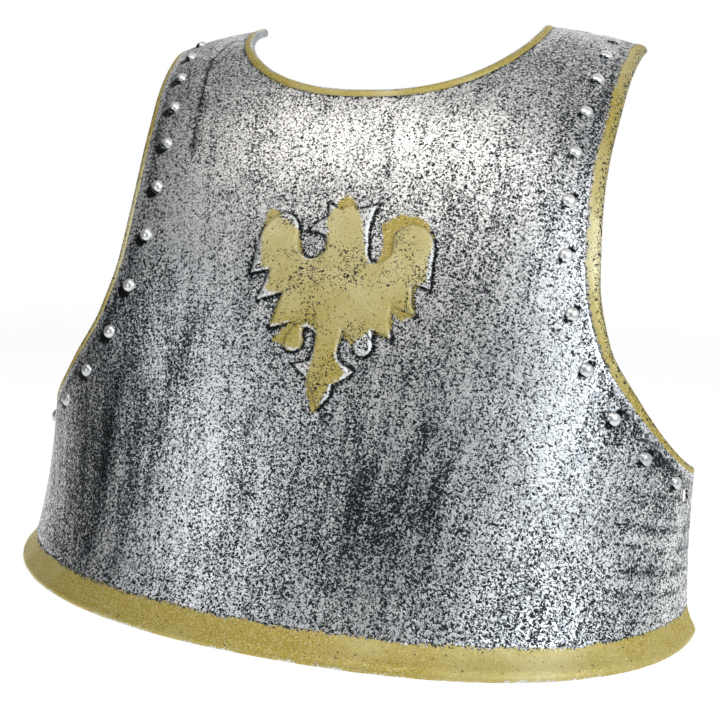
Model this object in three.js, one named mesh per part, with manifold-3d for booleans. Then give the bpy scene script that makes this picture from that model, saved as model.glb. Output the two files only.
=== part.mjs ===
// A steel breastplate: one formed sheet that stands on the flat foot of its waist band, with
// rolled edges round the neck and the arm openings, a raised eagle on the chest and a row of
// domed rivets along each arm opening. Millimetres, +Z up, the front toward -Y and the wearer's
// left toward +X. A place on the sheet is an angle round the section and a rise up the steel.
import * as THREE from 'three';
import { mergeVertices } from 'three/addons/utils/BufferGeometryUtils.js';
import Module from 'manifold-3d';

const SHEET = 1.5; // thickness of the formed sheet
const GAP = 0.3; // clearance between separate pieces

// Sections of the sheet, from the waist up. rise: distance up the steel along the centre line.
// lean: the centre line's tilt back from the vertical. fall: how far the ends of the section
// drop below the horizontal. power: 2 makes the section an ellipse, more makes it squarer.
const SECTIONS = [
  { rise: 0, lean: 35, fall: 0, halfWidth: 195.5, depth: 116.5, power: 2.25 },
  { rise: 60, lean: 23.5, fall: 0, halfWidth: 194, depth: 108.5, power: 2.35 },
  { rise: 120, lean: 22, fall: 5.5, halfWidth: 194.5, depth: 100.5, power: 2.7 },
  { rise: 180, lean: 21, fall: 11, halfWidth: 197, depth: 93.5, power: 3.2 },
  { rise: 240, lean: 24, fall: 20.5, halfWidth: 195.5, depth: 95, power: 3.15 },
  { rise: 300, lean: 37.5, fall: 37.5, halfWidth: 191, depth: 99, power: 2.9 },
  { rise: 350, lean: 56, fall: 56, halfWidth: 194, depth: 98, power: 2.9 },
  { rise: 390, lean: 73.5, fall: 73, halfWidth: 200, depth: 95.5, power: 2.95 },
  { rise: 430, lean: 88, fall: 75, halfWidth: 208, depth: 91, power: 3 },
];

// Edge of the sheet round the arm opening, from the top of the side to the shoulder's end
const ARM_EDGE = [
  { rise: 92, x: 191.5 },
  { rise: 112, x: 175 },
  { rise: 135, x: 158 },
  { rise: 165, x: 139.5 },
  { rise: 200, x: 131.5 },
  { rise: 240, x: 130 },
  { rise: 320, x: 137.5 },
  { rise: 400, x: 149 },
];

const NECK = { bottom: 303, top: 402, halfWidth: 92.5, power: 2.4 };
const SHEET_FOOT = 3.6; // rise of the sheet's lower edge, which stands inside the waist band

// Corners of each rolled edge's section, which holds the sheet's edge in a slot 0.4 mm clear of
// it. out: beyond the sheet's edge. lift: above its face.
const ARM_ROLL = [
  { out: -4.6, lift: 0.4 },
  { out: -4.4, lift: 0.8 },
  { out: -3, lift: 1.2 },
  { out: -0.6, lift: 1.3 },
  { out: 1.6, lift: 1 },
  { out: 2.9, lift: 0 },
  { out: 3.5, lift: -1.4 },
  { out: 3, lift: -3 },
  { out: 1.4, lift: -4 },
  { out: -1, lift: -3.8 },
  { out: -2.4, lift: -2.9 },
  { out: -2.4, lift: -1.9 },
  { out: 0.4, lift: -1.9 },
  { out: 0.4, lift: 0.4 },
];
const NECK_ROLL = [
  { out: -2.8, lift: 0.4 },
  { out: -2.4, lift: 0.9 },
  { out: -0.8, lift: 1.3 },
  { out: 1, lift: 1.2 },
  { out: 2.2, lift: 0.4 },
  { out: 2.6, lift: -1 },
  { out: 2.5, lift: -2.6 },
  { out: 1.8, lift: -3.9 },
  { out: 0.2, lift: -4.4 },
  { out: -1.6, lift: -3.6 },
  { out: -2.2, lift: -1.9 },
  { out: 0.4, lift: -1.9 },
  { out: 0.4, lift: 0.4 },
];

// Corners of the waist band's section: its face outside the sheet, its foot on the ground and
// its back inside the sheet. spread: outward from the sheet's line at the ground.
const BAND_FACE = [
  { rise: 13, lift: 0.3 },
  { rise: 13, lift: 1 },
  { rise: 9.5, lift: 1.5 },
  { rise: 6, lift: 2.3 },
  { rise: 3, lift: 3.4 },
];
const BAND_FOOT = [
  { spread: 4.3, height: 1.8 },
  { spread: 4.3, height: 0 },
  { spread: -2.6, height: 0 },
];
const BAND_BACK = [
  { rise: 6, lift: -3 },
  { rise: 9, lift: -2.6 },
  { rise: 9, lift: -1.8 },
  { rise: 3.3, lift: -1.8 },
  { rise: 3.3, lift: 0.3 },
];

// Rivets along the arm opening, from the shoulder down to the side
const RIVETS = [
  { rise: 385, x: 131.5 },
  { rise: 356.5, x: 128 },
  { rise: 328, x: 124.5 },
  { rise: 299.5, x: 120 },
  { rise: 270.5, x: 116.5 },
  { rise: 241, x: 115.5 },
  { rise: 211, x: 116.5 },
  { rise: 180.5, x: 122 },
  { rise: 152.5, x: 131 },
  { rise: 128, x: 146 },
  { rise: 106.5, x: 163 },
  { rise: 90, x: 180 },
];
const RIVET = {
  headRadius: 4,
  headHeight: 2.2,
  shankRadius: 1.5,
  tailRadius: 2.6,
  tailEndRadius: 1.8,
  tailHeight: 0.9,
  tailGap: 0.8, // the tail's clearance inside the curved sheet
  domeTurns: [0, 30, 60, 90], // degrees from the top of the dome to its foot
  sides: 8,
};

const LACING_HOLES = [
  { rise: 399, x: 122 },
  { rise: 79, x: 186.5 },
];
const LACING_HOLE = { radius: 4, sides: 16 };
const DRILL_LENGTH = 9; // centred on the face of the sheet

// Outline of the eagle, clockwise from the left point of its crown. up: rise up the steel.
// bulge: of the arc to the next corner, as the tangent of a quarter of its angle, 0 where it is
// straight, positive where it turns left.
const EAGLE = [
  { x: -9, up: 232.5, bulge: 0 },
  { x: -2, up: 229, bulge: 0 },
  { x: 4.5, up: 232.5, bulge: 0 },
  { x: 7, up: 229, bulge: 0 },
  { x: 18.5, up: 232.5, bulge: 0.1 },
  { x: 15.5, up: 217, bulge: 0.05 },
  { x: 16.5, up: 204.5, bulge: 0.1 },
  { x: 19, up: 200.5, bulge: 0.3 },
  { x: 28.5, up: 206, bulge: 0 },
  { x: 28.5, up: 216, bulge: -0.2 },
  { x: 36, up: 222, bulge: -0.2 },
  { x: 45, up: 220.5, bulge: -0.15 },
  { x: 50.5, up: 213, bulge: -0.1 },
  { x: 51, up: 200, bulge: 0 },
  { x: 51.5, up: 187, bulge: 0.1 },
  { x: 42, up: 189.5, bulge: 0 },
  { x: 42.5, up: 181, bulge: 0 },
  { x: 45, up: 173, bulge: 0 },
  { x: 38, up: 175.5, bulge: 0 },
  { x: 32.5, up: 178, bulge: 0 },
  { x: 32, up: 170, bulge: 0 },
  { x: 34.5, up: 159.5, bulge: 0.1 },
  { x: 24, up: 164, bulge: 0 },
  { x: 24.5, up: 158, bulge: -1.5 },
  { x: 14.5, up: 157.5, bulge: 0 },
  { x: 8, up: 163, bulge: 0 },
  { x: 6.5, up: 151.5, bulge: 0 },
  { x: 8.5, up: 147, bulge: 0 },
  { x: 17, up: 142, bulge: -0.1 },
  { x: 6.5, up: 134.5, bulge: 0 },
  { x: 5.5, up: 128, bulge: -0.1 },
  { x: -0.5, up: 121, bulge: -0.05 },
  { x: -8.5, up: 137, bulge: 0 },
  { x: -17, up: 143.5, bulge: 0.05 },
  { x: -8, up: 146, bulge: 0.1 },
  { x: -6.5, up: 160, bulge: 0.3 },
  { x: -13.5, up: 163, bulge: 0 },
  { x: -13, up: 157.5, bulge: -1.5 },
  { x: -23, up: 157.5, bulge: 0 },
  { x: -18.5, up: 166, bulge: 0.05 },
  { x: -32.5, up: 161.5, bulge: 0 },
  { x: -28, up: 181, bulge: 0 },
  { x: -42, up: 176, bulge: 0 },
  { x: -36.5, up: 193.5, bulge: 0 },
  { x: -47.5, up: 190.5, bulge: 0.05 },
  { x: -45.5, up: 209, bulge: -0.12 },
  { x: -42, up: 219.5, bulge: -0.15 },
  { x: -33, up: 226, bulge: -0.3 },
  { x: -23.5, up: 219.5, bulge: 0 },
  { x: -22.5, up: 208, bulge: 0.3 },
  { x: -15, up: 201, bulge: 0.3 },
  { x: -7.5, up: 206, bulge: 0.2 },
  { x: -8.5, up: 214, bulge: 0.1 },
  { x: -17.5, up: 216.5, bulge: -0.15 },
  { x: -8.5, up: 224.5, bulge: 0 },
];
const EAGLE_CENTRE = 176; // rise at the middle of the figure
const EAGLE_RELIEF = 2.2;
const EAGLE_BAR = 40; // length of the bar that the figure is cut with, past the curve of the sheet
const ARC_STEP = 32; // the most that one straight piece of an arc may turn, in degrees

// Shares of the way from the centre line to the side, and from the waist to the top edge, at
// which the sheet is divided. The neckline takes the first NECK_SHARE of the top edge.
const NECK_SHARE = 0.68;
const HALF_COLUMNS = [
  0, 0.1, 0.2, 0.3, 0.39, 0.47, 0.54, 0.59, 0.64, 0.68, 0.75, 0.82, 0.89, 0.94, 0.975, 1,
];
const ROWS = [
  0, 0.045, 0.1, 0.15, 0.19, 0.22, 0.235, 0.25, 0.27, 0.295, 0.33, 0.375, 0.425, 0.48, 0.535,
  0.59, 0.645, 0.7, 0.75, 0.795, 0.84, 0.88, 0.92, 0.95, 0.98, 1,
];
const CORNER_ROW = 0.22; // the row that meets the top of the side
const COLUMNS = [...HALF_COLUMNS.slice(1).reverse().map((share) => -share), ...HALF_COLUMNS];

const NORMAL_STEPS = { angle: 0.002, rise: 0.2 }; // to each side of the place a normal is taken at
const WELD = 1e-5; // corners closer than this are one vertex

const STEEL = new THREE.MeshStandardMaterial({ color: 0x8d9196, roughness: 0.42, metalness: 0.8 });
const GOLD = new THREE.MeshStandardMaterial({ color: 0xa8974a, roughness: 0.5, metalness: 0.6 });

const radians = THREE.MathUtils.degToRad;
const mix = THREE.MathUtils.lerp;

// A smooth curve through one column of a table, which never swings past its rows
function curveThrough(rows, key, column) {
  const knots = rows.map((row) => row[key]);
  const values = rows.map((row) => row[column]);
  const last = knots.length - 1;
  const secant = (row) => (values[row + 1] - values[row]) / (knots[row + 1] - knots[row]);
  const slopes = knots.map((_, row) => {
    if (row === 0) return secant(0);
    if (row === last) return secant(last - 1);
    const [before, after] = [secant(row - 1), secant(row)];
    return before * after <= 0 ? 0 : (2 * before * after) / (before + after);
  });
  return (at) => {
    const above = knots.findIndex((knot) => knot > at);
    const row = above < 0 ? last - 1 : Math.max(above - 1, 0);
    const span = knots[row + 1] - knots[row];
    const share = (at - knots[row]) / span;
    const ease = share * share * (3 - 2 * share);
    const leaving = share * (1 - share) ** 2 * span * slopes[row];
    const arriving = share ** 2 * (share - 1) * span * slopes[row + 1];
    return mix(values[row], values[row + 1], ease) + leaving + arriving;
  };
}

const lean = curveThrough(SECTIONS, 'rise', 'lean');
const fall = curveThrough(SECTIONS, 'rise', 'fall');
const halfWidth = curveThrough(SECTIONS, 'rise', 'halfWidth');
const depth = curveThrough(SECTIONS, 'rise', 'depth');
const power = curveThrough(SECTIONS, 'rise', 'power');
const armEdge = curveThrough(ARM_EDGE, 'rise', 'x');

// The centre line, one point for each millimetre of rise
function traceCentreLine() {
  const line = [new THREE.Vector2(0, 0)];
  for (let rise = 0; rise < SECTIONS.at(-1).rise; rise += 1) {
    const tilt = radians(lean(rise + 0.5));
    const step = new THREE.Vector2(Math.sin(tilt), Math.cos(tilt));
    line.push(line.at(-1).clone().add(step));
  }
  return line;
}
const CENTRE_LINE = traceCentreLine();

// A point on the outer face of the sheet
function facePoint({ angle, rise }) {
  const below = Math.min(Math.floor(rise), CENTRE_LINE.length - 2);
  const centre = CENTRE_LINE[below].clone().lerp(CENTRE_LINE[below + 1], rise - below);
  const reach = Math.abs(Math.sin(angle));
  const back = depth(rise) * (1 - (1 - reach ** power(rise)) ** (1 / power(rise)));
  const drop = radians(fall(rise));
  const x = halfWidth(rise) * Math.sin(angle);
  return new THREE.Vector3(x, centre.x + back * Math.cos(drop), centre.y - back * Math.sin(drop));
}

function faceNormal({ angle, rise }) {
  const middle = Math.max(rise, NORMAL_STEPS.rise);
  const across = facePoint({ angle: angle + NORMAL_STEPS.angle, rise: middle });
  const up = facePoint({ angle, rise: middle + NORMAL_STEPS.rise });
  across.sub(facePoint({ angle: angle - NORMAL_STEPS.angle, rise: middle }));
  up.sub(facePoint({ angle, rise: middle - NORMAL_STEPS.rise }));
  return across.cross(up).normalize();
}

function liftedPoint(place, lift) {
  return facePoint(place).addScaledVector(faceNormal(place), lift);
}

function placeAt(x, rise) {
  return { angle: Math.asin(x / halfWidth(rise)), rise };
}

const SIDE_ANGLE = placeAt(ARM_EDGE[0].x, ARM_EDGE[0].rise).angle;

// The side of the sheet and then the arm opening, a share of the way up
function sidePlace(share) {
  if (share < CORNER_ROW) {
    const rise = mix(SHEET_FOOT, ARM_EDGE[0].rise, share / CORNER_ROW);
    return { angle: SIDE_ANGLE, rise };
  }
  const climb = (share - CORNER_ROW) / (1 - CORNER_ROW);
  const rise = mix(ARM_EDGE[0].rise, ARM_EDGE.at(-1).rise, climb);
  return placeAt(armEdge(rise), rise);
}

// The neckline and then the shoulder's end, a share of the way out from the centre line
function topPlace(share) {
  if (share <= NECK_SHARE) {
    const turn = (share / NECK_SHARE) * (Math.PI / 2);
    const x = NECK.halfWidth * Math.sin(turn) ** (2 / NECK.power);
    const rise = mix(NECK.top, NECK.bottom, Math.abs(Math.cos(turn)) ** (2 / NECK.power));
    return placeAt(x, rise);
  }
  const out = (share - NECK_SHARE) / (1 - NECK_SHARE);
  const end = ARM_EDGE.at(-1);
  return placeAt(mix(NECK.halfWidth, end.x, out), mix(NECK.top, end.rise, out));
}

// A place inside the sheet, blended from its four edges. across runs from -1 to 1, up from 0 to 1.
function sheetPlace(across, up) {
  const share = Math.abs(across);
  const side = sidePlace(up);
  const top = topPlace(share);
  const end = ARM_EDGE.at(-1);
  const corner = placeAt(end.x, end.rise);
  const blend = (edge, foot, sideValue, topValue, centreTop, cornerValue) => {
    const between = mix(mix(foot, centreTop, up), sideValue, share);
    const flat = mix(mix(foot, centreTop, up), mix(edge, cornerValue, up), share);
    const fromEnds = mix(mix(foot, edge, share), topValue, up);
    return between + fromEnds - flat;
  };
  const angle = blend(SIDE_ANGLE, 0, side.angle, top.angle, 0, corner.angle);
  const rise = blend(SHEET_FOOT, SHEET_FOOT, side.rise, top.rise, NECK.bottom, end.rise);
  return { angle: angle * Math.sign(across), rise };
}

function geometryOf(positions, indices) {
  const geometry = new THREE.BufferGeometry();
  geometry.setAttribute('position', new THREE.Float32BufferAttribute(positions, 3));
  geometry.setIndex(indices);
  return geometry;
}

// A closed sheet over the whole breastplate, between two lifts above its outer face
function sheetBetween(under, over) {
  const places = ROWS.flatMap((up) => COLUMNS.map((across) => sheetPlace(across, up)));
  const layers = [over, under].map((lift) => places.map((place) => liftedPoint(place, lift)));
  const positions = layers.flat().flatMap((point) => point.toArray());
  const wide = COLUMNS.length;
  const layer = places.length;
  const indices = [];
  const quad = (a, b, c, d) => indices.push(a, b, c, a, c, d);
  for (let row = 0; row + 1 < ROWS.length; row += 1) {
    for (let column = 0; column + 1 < wide; column += 1) {
      const low = row * wide + column;
      const high = low + wide;
      const outer = [low, low + 1, high + 1, high];
      const inner = [low, high, high + 1, low + 1].map((vertex) => vertex + layer);
      if (COLUMNS[column] < 0) {
        outer.push(outer.shift());
        inner.push(inner.shift());
      }
      quad(...outer);
      quad(...inner);
    }
  }
  const rim = rimOfGrid(ROWS.length, wide);
  rim.forEach((from, index) => {
    const to = rim[(index + 1) % rim.length];
    quad(to, from, layer + from, layer + to);
  });
  return geometryOf(positions, indices);
}

// The outer vertices of a grid in order, anticlockwise from its first corner
function rimOfGrid(tall, wide) {
  const foot = Array.from({ length: wide - 1 }, (_, column) => column);
  const right = Array.from({ length: tall - 1 }, (_, row) => row * wide + wide - 1);
  const top = foot.map((column) => tall * wide - 1 - column);
  const left = right.map((_, row) => (tall - 1 - row) * wide);
  return [...foot, ...right, ...top, ...left];
}

// A bar through rings of corners, closed at both ends; section is the ring laid flat
function barThrough(rings, section) {
  const corners = section.length;
  const positions = rings.flat().flatMap((point) => point.toArray());
  const indices = [];
  for (let ring = 0; ring + 1 < rings.length; ring += 1) {
    for (let corner = 0; corner < corners; corner += 1) {
      const here = ring * corners + corner;
      const beside = ring * corners + ((corner + 1) % corners);
      indices.push(here, beside, beside + corners, here, beside + corners, here + corners);
    }
  }
  const end = positions.length / 3 - corners;
  const clockwise = THREE.ShapeUtils.isClockWise(section);
  for (const triangle of THREE.ShapeUtils.triangulateShape(section, [])) {
    const [a, b, c] = clockwise ? triangle.reverse() : triangle;
    indices.push(c, b, a, end + a, end + b, end + c);
  }
  return facingOut(geometryOf(positions, indices));
}

// Turns every triangle round if the solid is inside out
function facingOut(geometry) {
  const { index: order, attributes } = geometry;
  const corner = (index) =>
    new THREE.Vector3().fromBufferAttribute(attributes.position, order.getX(index));
  let volume = 0;
  for (let index = 0; index < order.count; index += 3) {
    volume += corner(index).dot(corner(index + 1).cross(corner(index + 2)));
  }
  if (volume < 0) order.array.reverse();
  return geometry;
}

// A rolled edge: its section carried along an edge of the sheet, which is given in order with
// the sheet on its left
function rolledEdge(edgePlaces, section) {
  const edge = edgePlaces.map(facePoint);
  const rings = edge.map((point, index) => {
    const before = edge[Math.max(index - 1, 0)];
    const after = edge[Math.min(index + 1, edge.length - 1)];
    const along = after.clone().sub(before).normalize();
    const lift = faceNormal(edgePlaces[index]);
    lift.addScaledVector(along, -lift.dot(along)).normalize();
    const out = along.clone().cross(lift);
    return section.map((corner) =>
      point.clone().addScaledVector(out, corner.out).addScaledVector(lift, corner.lift));
  });
  return barThrough(rings, section.map((corner) => new THREE.Vector2(corner.out, corner.lift)));
}

function armRoll(side) {
  const shares = ROWS.filter((share) => share >= CORNER_ROW);
  if (side < 0) shares.reverse();
  return rolledEdge(shares.map((share) => sheetPlace(side, share)), ARM_ROLL);
}

function neckRoll() {
  const shares = COLUMNS.filter((share) => Math.abs(share) <= NECK_SHARE).reverse();
  return rolledEdge(shares.map((share) => sheetPlace(share, 1)), NECK_ROLL);
}

// The flared band round the waist, standing flat on the ground
function waistFlange() {
  const rings = COLUMNS.map((across) => {
    const angle = across * SIDE_ANGLE;
    const onSheet = ({ rise, lift }) => liftedPoint({ angle, rise }, lift);
    const ground = facePoint({ angle, rise: 0 });
    const outward = faceNormal({ angle, rise: 0 }).setZ(0).normalize();
    const onGround = ({ spread, height }) =>
      ground.clone().addScaledVector(outward, spread).setZ(height);
    return [...BAND_FACE.map(onSheet), ...BAND_FOOT.map(onGround), ...BAND_BACK.map(onSheet)];
  });
  const flatCorner = ({ rise, lift, spread, height }) =>
    new THREE.Vector2(lift ?? spread, rise ?? height);
  return barThrough(rings, [...BAND_FACE, ...BAND_FOOT, ...BAND_BACK].map(flatCorner));
}

// The outline's corners, with each bulging side divided into short straight ones
function bulgedOutline(corners) {
  const points = [];
  corners.forEach((corner, index) => {
    const next = corners[(index + 1) % corners.length];
    const from = new THREE.Vector2(corner.x, corner.up - EAGLE_CENTRE);
    const chord = new THREE.Vector2(next.x - corner.x, next.up - corner.up);
    const opening = 4 * Math.atan(corner.bulge);
    const pieces = Math.max(1, Math.ceil(Math.abs(opening) / radians(ARC_STEP)));
    for (let piece = 0; piece < pieces; piece += 1) {
      const turned = (opening * piece) / pieces;
      const reach = Math.sin(turned / 2) / Math.sin(opening / 2);
      const swing = chord.clone().multiplyScalar(corner.bulge === 0 ? 0 : reach);
      points.push(swing.rotateAround(new THREE.Vector2(), (turned - opening) / 2).add(from));
    }
  });
  return points;
}

// A straight bar of the eagle's outline, square to the sheet at the middle of the figure
function eaglePrism() {
  const shape = new THREE.Shape(bulgedOutline(EAGLE));
  const prism = new THREE.ExtrudeGeometry(shape, { depth: EAGLE_BAR, bevelEnabled: false });
  prism.translate(0, 0, -EAGLE_BAR / 2);
  prism.rotateX(Math.PI / 2 - radians(lean(EAGLE_CENTRE)));
  const middle = facePoint({ angle: 0, rise: EAGLE_CENTRE });
  return prism.translate(middle.x, middle.y, middle.z);
}

// A rivet along +Y: a domed head, a shank through the sheet and a peened tail
function rivetGeometry() {
  const tailTop = -SHEET - RIVET.tailGap;
  const tailEnd = tailTop - RIVET.tailHeight;
  const dome = RIVET.domeTurns.map(radians).map((turn) => [
    RIVET.headRadius * Math.sin(turn),
    GAP + RIVET.headHeight * Math.cos(turn),
  ]);
  const profile = [
    ...dome,
    [RIVET.shankRadius, GAP],
    [RIVET.shankRadius, tailTop],
    [RIVET.tailRadius, tailTop],
    [RIVET.tailEndRadius, tailEnd],
    [0, tailEnd],
  ];
  const points = profile.map(([radius, height]) => new THREE.Vector2(radius, height));
  return new THREE.LatheGeometry(points.reverse(), RIVET.sides);
}

// Sets a shape made along +Y square to the sheet at a place
function standOnSheet(geometry, place) {
  const turn = new THREE.Quaternion();
  turn.setFromUnitVectors(new THREE.Vector3(0, 1, 0), faceNormal(place));
  const at = facePoint(place);
  return geometry.clone().applyQuaternion(turn).translate(at.x, at.y, at.z);
}

const wasm = await Module();
wasm.setup();

function toSolid(geometry) {
  const bare = geometry.clone();
  bare.deleteAttribute('normal');
  bare.deleteAttribute('uv');
  const welded = mergeVertices(bare, WELD);
  const vertProperties = new Float32Array(welded.attributes.position.array);
  const triVerts = new Uint32Array(welded.index.array);
  return new wasm.Manifold(new wasm.Mesh({ numProp: 3, vertProperties, triVerts }));
}

function toGeometry(solid) {
  const { vertProperties, triVerts } = solid.getMesh();
  return geometryOf(Array.from(vertProperties), Array.from(triVerts));
}

function cutAway(geometry, cutters) {
  const cut = (solid, cutter) => solid.subtract(toSolid(cutter));
  return toGeometry(cutters.reduce(cut, toSolid(geometry)));
}

function drillsThrough(rows, radius, sides) {
  const drill = new THREE.CylinderGeometry(radius, radius, DRILL_LENGTH, sides);
  return rows.flatMap(({ rise, x }) =>
    [x, -x].map((either) => standOnSheet(drill, placeAt(either, rise))));
}

function breastplateShell() {
  const rivetHoles = drillsThrough(RIVETS, RIVET.shankRadius + GAP, RIVET.sides);
  const lacingHoles = drillsThrough(LACING_HOLES, LACING_HOLE.radius, LACING_HOLE.sides);
  return cutAway(sheetBetween(-SHEET, 0), [...rivetHoles, ...lacingHoles]);
}

function eagleBadge() {
  const blank = toSolid(sheetBetween(GAP, GAP + EAGLE_RELIEF));
  return toGeometry(blank.intersect(toSolid(eaglePrism())));
}

const breastplate = new THREE.Group();

function addPart(name, geometry, material) {
  const mesh = new THREE.Mesh(geometry, material.clone());
  mesh.name = name;
  breastplate.add(mesh);
}

addPart('breastplate_shell', breastplateShell(), STEEL);
addPart('neck_roll', neckRoll(), GOLD);
addPart('arm_roll_left', armRoll(1), GOLD);
addPart('arm_roll_right', armRoll(-1), GOLD);
addPart('waist_flange', waistFlange(), GOLD);
addPart('eagle_badge', eagleBadge(), GOLD);
for (const [side, sign] of [['left', 1], ['right', -1]]) {
  RIVETS.forEach(({ rise, x }, index) => {
    const number = String(index + 1).padStart(2, '0');
    addPart(`rivet_${side}_${number}`, standOnSheet(rivetGeometry(), placeAt(sign * x, rise)), STEEL);
  });
}

// The origin is on the ground below the middle of the whole breastplate
const extent = new THREE.Box3().setFromObject(breastplate);
breastplate.position.y = -(extent.min.y + extent.max.y) / 2;

export default breastplate;
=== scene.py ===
"""A steel breastplate with gold edges and an eagle badge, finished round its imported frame.

Sizes are in millimetres, and add_piece puts them into a mesh in metres. A place on the sheet is
an angle round its section and a rise up the steel from the ground, as on the maker's pattern.
"""
import bpy
import numpy as np
from mathutils import Matrix, Vector


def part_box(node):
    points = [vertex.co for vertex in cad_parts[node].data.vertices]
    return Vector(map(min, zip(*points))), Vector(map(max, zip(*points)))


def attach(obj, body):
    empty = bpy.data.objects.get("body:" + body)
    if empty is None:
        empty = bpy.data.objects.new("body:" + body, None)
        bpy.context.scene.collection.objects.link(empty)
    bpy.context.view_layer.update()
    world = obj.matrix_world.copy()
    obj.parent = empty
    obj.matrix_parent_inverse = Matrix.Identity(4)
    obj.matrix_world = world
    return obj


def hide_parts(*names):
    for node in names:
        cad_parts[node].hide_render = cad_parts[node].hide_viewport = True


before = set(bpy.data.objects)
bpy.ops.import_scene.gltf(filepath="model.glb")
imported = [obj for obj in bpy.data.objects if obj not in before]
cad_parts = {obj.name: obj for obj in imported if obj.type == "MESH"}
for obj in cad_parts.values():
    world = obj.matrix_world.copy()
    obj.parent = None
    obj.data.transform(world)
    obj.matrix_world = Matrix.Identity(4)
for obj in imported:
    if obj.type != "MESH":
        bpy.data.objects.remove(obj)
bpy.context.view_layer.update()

scene = bpy.context.scene

# ----------------------------------------
# The view: a camera a little to the wearer's left of the plate and above it, slightly tilted.

CAMERA_TURN, CAMERA_HEIGHT, CAMERA_TILT = np.radians([14.467, 10.737, 2.016])
CAMERA_AIM = Vector((-0.0093, 0.0675, 0.1132))
CAMERA_DISTANCE = 0.5598
LENS, SENSOR = 43.5, 36

camera = bpy.data.objects.new("camera", bpy.data.cameras.new("camera"))
camera.data.lens = LENS
camera.data.sensor_width = SENSOR
camera.data.clip_start = 0.01
toward_camera = Vector((
    np.sin(CAMERA_TURN) * np.cos(CAMERA_HEIGHT),
    -np.cos(CAMERA_TURN) * np.cos(CAMERA_HEIGHT),
    np.sin(CAMERA_HEIGHT),
))
camera.matrix_world = (
    Matrix.Translation(CAMERA_AIM + toward_camera * CAMERA_DISTANCE)
    @ toward_camera.to_track_quat("Z", "Y").to_matrix().to_4x4()
    @ Matrix.Rotation(CAMERA_TILT, 4, "Z")
)
scene.collection.objects.link(camera)
scene.camera = camera
scene.view_settings.view_transform = "Standard"

# ----------------------------------------
# The plate: one sheet of steel, hammered to the chest and stippled, washed with black paint
# that is rubbed off the high spots. It stands inside the waist band and is drilled for laces.

MM = 0.001
SHEET = 1.5  # thickness


def table(columns, *rows):
    """A short table as one array for each named column."""
    return dict(zip(columns.split(), np.array(rows, float).T))


# lean: the centre line's tilt back. fall: how far a section's ends drop below the horizontal.
# power: 2 makes the section an ellipse, more makes it squarer.
SECTIONS = table(
    "rise lean fall half_width depth power",
    (0, 35, 0, 195.5, 116.5, 2.25),
    (60, 23.5, 0, 194, 108.5, 2.35),
    (120, 22, 5.5, 194.5, 100.5, 2.7),
    (180, 21, 11, 197, 93.5, 3.2),
    (240, 24, 20.5, 195.5, 95, 3.15),
    (300, 37.5, 37.5, 191, 99, 2.9),
    (350, 56, 56, 194, 98, 2.9),
    (390, 73.5, 73, 200, 95.5, 2.95),
    (430, 88, 75, 208, 91, 3),
)
ARM_EDGE = table(
    "rise x",
    (92, 191.5),
    (112, 175),
    (135, 158),
    (165, 139.5),
    (200, 131.5),
    (240, 130),
    (320, 137.5),
    (400, 149),
)
NECK_BOTTOM, NECK_TOP, NECK_HALF_WIDTH, NECK_POWER = 303, 402, 92.5, 2.4
SHEET_FOOT = 3.6  # rise of the sheet's lower edge
SIDE_TOP, SHOULDER_END = 92, 400  # rises of the two ends of the arm opening
SHOULDER_HALF_WIDTH = 149
LACING_HOLES = table("rise x", (399, 122), (79, 186.5), (399, -122), (79, -186.5))
LACING_HOLE_RADIUS = 4


def curve_through(rows, column):
    """A cubic through a column against the rise. Its slope at a row is the harmonic mean of the
    slopes beside it, or 0 at a turn, so it never swings past its rows."""
    keys, values = rows["rise"], rows[column]
    secants = np.diff(values) / np.diff(keys)
    before, after = secants[:-1], secants[1:]
    turns = before * after <= 0
    inner = np.where(turns, 0, 2 * before * after / np.where(turns, 1, before + after))
    slopes = np.concatenate([secants[:1], inner, secants[-1:]])

    def value(rise):
        row = np.clip(np.searchsorted(keys, rise, side="right") - 1, 0, len(keys) - 2)
        span = keys[row + 1] - keys[row]
        share = (rise - keys[row]) / span
        ease = share**2 * (3 - 2 * share)
        leaving = share * (1 - share) ** 2 * span * slopes[row]
        arriving = share**2 * (share - 1) * span * slopes[row + 1]
        return values[row] * (1 - ease) + values[row + 1] * ease + leaving + arriving

    return value


lean, fall, half_width, depth, power = (
    curve_through(SECTIONS, name) for name in ("lean", "fall", "half_width", "depth", "power")
)
arm_edge = curve_through(ARM_EDGE, "x")
BAND_SPREAD = 4.3  # how far the waist band's foot stands out from the sheet's line
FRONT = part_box("waist_flange")[0].y / MM + BAND_SPREAD

# The centre line, a point for each millimetre of rise
tilts = np.radians(lean(np.arange(0.5, SECTIONS["rise"][-1])))
CENTRE_Y = FRONT + np.concatenate([[0], np.cumsum(np.sin(tilts))])
CENTRE_Z = np.concatenate([[0], np.cumsum(np.cos(tilts))])


def face_point(angle, rise):
    """Points on the sheet's face: a superellipse section through the centre line, whose ends
    fall away from the horizontal."""
    reach = np.abs(np.sin(angle))
    back = depth(rise) * (1 - (1 - reach ** power(rise)) ** (1 / power(rise)))
    drop = np.radians(fall(rise))
    each_rise = np.arange(len(CENTRE_Y))
    y = np.interp(rise, each_rise, CENTRE_Y) + back * np.cos(drop)
    z = np.interp(rise, each_rise, CENTRE_Z) - back * np.sin(drop)
    return np.stack([half_width(rise) * np.sin(angle), y, z], axis=-1)


def unit(vectors):
    """Vectors divided by their lengths."""
    return vectors / np.linalg.norm(vectors, axis=-1, keepdims=True)


def face_normal(angle, rise, turn=0.004, step=0.8):
    """The outward normal: the cross product of the slopes across and up the face."""
    middle = np.maximum(rise, step)
    across = face_point(angle + turn, middle) - face_point(angle - turn, middle)
    up = face_point(angle, middle + step) - face_point(angle, middle - step)
    return unit(np.cross(across, up))


def lifted(angle, rise, lift):
    """Points at a height above the face."""
    return face_point(angle, rise) + face_normal(angle, rise) * np.asarray(lift)[..., None]


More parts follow.
